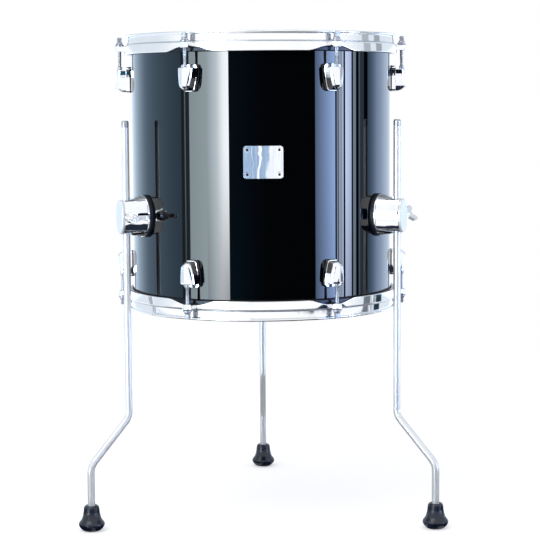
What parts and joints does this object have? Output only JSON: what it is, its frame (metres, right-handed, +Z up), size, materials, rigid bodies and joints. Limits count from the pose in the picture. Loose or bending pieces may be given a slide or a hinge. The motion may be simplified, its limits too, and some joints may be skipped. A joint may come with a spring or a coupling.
{
  "type": "floor tom",
  "caption": "Floor tom: a gloss black drum shell with two tensioned heads under triple-flanged chrome rims, standing on height-adjustable bent legs with rubber feet.",
  "frame": {"origin": "on the floor, under the middle of the rectangle that the drum and its feet take up; the drum's own axis is 47.2 mm in front of it (towards -Y)", "axes": "+Z up, -Y towards the front of the drum, where the badge is, +X to the right as seen from the front"},
  "size_m": [0.4904, 0.4668, 0.6549],
  "materials": {
    "shell_lacquer": "piano black gloss lacquer",
    "chrome": "polished",
    "brushed_metal": "brushed",
    "aluminium": "satin",
    "coated_film": "rough white coating",
    "clear_film": "clear film",
    "rubber": "satin",
    "nylon": "satin"
  },
  "bodies": {
    "drum": {"shell": "shell_lacquer", "batter_head": "coated_film", "batter_flesh_hoop": "aluminium", "batter_rim": "chrome", "batter_lug_1": "chrome", "batter_lug_2": "chrome", "batter_lug_3": "chrome", "batter_lug_4": "chrome", "batter_lug_5": "chrome", "batter_lug_6": "chrome", "resonant_head": "clear_film", "resonant_flesh_hoop": "aluminium", "resonant_rim": "chrome", "resonant_lug_1": "chrome", "resonant_lug_2": "chrome", "resonant_lug_3": "chrome", "resonant_lug_4": "chrome", "resonant_lug_5": "chrome", "resonant_lug_6": "chrome", "badge": "brushed_metal", "air_vent_grommet": "chrome", "left_leg_bracket": "chrome", "left_bracket_gasket": "rubber", "left_bracket_bolt_plate": "brushed_metal", "right_leg_bracket": "chrome", "right_bracket_gasket": "rubber", "right_bracket_bolt_plate": "brushed_metal", "back_leg_bracket": "chrome", "back_bracket_gasket": "rubber", "back_bracket_bolt_plate": "brushed_metal"},
    "batter_tension_rod_1": {"batter_tension_rod_1": "chrome"},
    "batter_tension_rod_2": {"batter_tension_rod_2": "chrome"},
    "batter_tension_rod_3": {"batter_tension_rod_3": "chrome"},
    "batter_tension_rod_4": {"batter_tension_rod_4": "chrome"},
    "batter_tension_rod_5": {"batter_tension_rod_5": "chrome"},
    "batter_tension_rod_6": {"batter_tension_rod_6": "chrome"},
    "resonant_tension_rod_1": {"resonant_tension_rod_1": "chrome"},
    "resonant_tension_rod_2": {"resonant_tension_rod_2": "chrome"},
    "resonant_tension_rod_3": {"resonant_tension_rod_3": "chrome"},
    "resonant_tension_rod_4": {"resonant_tension_rod_4": "chrome"},
    "resonant_tension_rod_5": {"resonant_tension_rod_5": "chrome"},
    "resonant_tension_rod_6": {"resonant_tension_rod_6": "chrome"},
    "left_leg_bush": {"left_leg_bush": "nylon"},
    "left_leg": {"left_leg": "chrome", "left_foot": "rubber"},
    "left_wing_bolt": {"left_wing_bolt": "chrome"},
    "right_leg_bush": {"right_leg_bush": "nylon"},
    "right_leg": {"right_leg": "chrome", "right_foot": "rubber"},
    "right_wing_bolt": {"right_wing_bolt": "chrome"},
    "back_leg_bush": {"back_leg_bush": "nylon"},
    "back_leg": {"back_leg": "chrome", "back_foot": "rubber"},
    "back_wing_bolt": {"back_wing_bolt": "chrome"}
  },
  "joints": [
    {"name": "batter_tension_rod_1_turn", "type": "hinge", "parent": "drum", "child": "batter_tension_rod_1", "pos_m": [0.0965, -0.21434, 0.6411], "axis": [0, 0, 1], "continuous": true},
    {"name": "batter_tension_rod_2_turn", "type": "hinge", "parent": "drum", "child": "batter_tension_rod_2", "pos_m": [0.193, -0.0472, 0.6411], "axis": [0, 0, 1], "continuous": true},
    {"name": "batter_tension_rod_3_turn", "type": "hinge", "parent": "drum", "child": "batter_tension_rod_3", "pos_m": [0.0965, 0.11994, 0.6411], "axis": [0, 0, 1], "continuous": true},
    {"name": "batter_tension_rod_4_turn", "type": "hinge", "parent": "drum", "child": "batter_tension_rod_4", "pos_m": [-0.0965, 0.11994, 0.6411], "axis": [0, 0, 1], "continuous": true},
    {"name": "batter_tension_rod_5_turn", "type": "hinge", "parent": "drum", "child": "batter_tension_rod_5", "pos_m": [-0.193, -0.0472, 0.6411], "axis": [0, 0, 1], "continuous": true},
    {"name": "batter_tension_rod_6_turn", "type": "hinge", "parent": "drum", "child": "batter_tension_rod_6", "pos_m": [-0.0965, -0.21434, 0.6411], "axis": [0, 0, 1], "continuous": true},
    {"name": "resonant_tension_rod_1_turn", "type": "hinge", "parent": "drum", "child": "resonant_tension_rod_1", "pos_m": [0.0965, 0.11994, 0.2981], "axis": [0, 0, 1], "continuous": true},
    {"name": "resonant_tension_rod_2_turn", "type": "hinge", "parent": "drum", "child": "resonant_tension_rod_2", "pos_m": [0.193, -0.0472, 0.2981], "axis": [0, 0, 1], "continuous": true},
    {"name": "resonant_tension_rod_3_turn", "type": "hinge", "parent": "drum", "child": "resonant_tension_rod_3", "pos_m": [0.0965, -0.21434, 0.2981], "axis": [0, 0, 1], "continuous": true},
    {"name": "resonant_tension_rod_4_turn", "type": "hinge", "parent": "drum", "child": "resonant_tension_rod_4", "pos_m": [-0.0965, -0.21434, 0.2981], "axis": [0, 0, 1], "continuous": true},
    {"name": "resonant_tension_rod_5_turn", "type": "hinge", "parent": "drum", "child": "resonant_tension_rod_5", "pos_m": [-0.193, -0.0472, 0.2981], "axis": [0, 0, 1], "continuous": true},
    {"name": "resonant_tension_rod_6_turn", "type": "hinge", "parent": "drum", "child": "resonant_tension_rod_6", "pos_m": [-0.0965, 0.11994, 0.2981], "axis": [0, 0, 1], "continuous": true},
    {"name": "left_leg_swivel", "type": "hinge", "parent": "drum", "child": "left_leg_bush", "pos_m": [-0.17883, -0.15045, 0.4145], "axis": [0, 0, 1], "continuous": true},
    {"name": "left_leg_slide", "type": "slide", "parent": "left_leg_bush", "child": "left_leg", "axis": [0, 0, 1], "range_m": [-0.09, 0.11]},
    {"name": "left_wing_bolt_turn", "type": "hinge", "parent": "drum", "child": "left_wing_bolt", "pos_m": [-0.17883, -0.15045, 0.4145], "axis": [0.5, -0.866, 0], "continuous": true},
    {"name": "right_leg_swivel", "type": "hinge", "parent": "drum", "child": "right_leg_bush", "pos_m": [0.17883, -0.15045, 0.4145], "axis": [0, 0, 1], "continuous": true},
    {"name": "right_leg_slide", "type": "slide", "parent": "right_leg_bush", "child": "right_leg", "axis": [0, 0, 1], "range_m": [-0.09, 0.11]},
    {"name": "right_wing_bolt_turn", "type": "hinge", "parent": "drum", "child": "right_wing_bolt", "pos_m": [0.17883, -0.15045, 0.4145], "axis": [0.5, 0.866, 0], "continuous": true},
    {"name": "back_leg_swivel", "type": "hinge", "parent": "drum", "child": "back_leg_bush", "pos_m": [0, 0.1593, 0.4145], "axis": [0, 0, 1], "continuous": true},
    {"name": "back_leg_slide", "type": "slide", "parent": "back_leg_bush", "child": "back_leg", "axis": [0, 0, 1], "range_m": [-0.09, 0.11]},
    {"name": "back_wing_bolt_turn", "type": "hinge", "parent": "drum", "child": "back_wing_bolt", "pos_m": [0, 0.1593, 0.4145], "axis": [-1, 0, 0], "continuous": true}
  ]
}
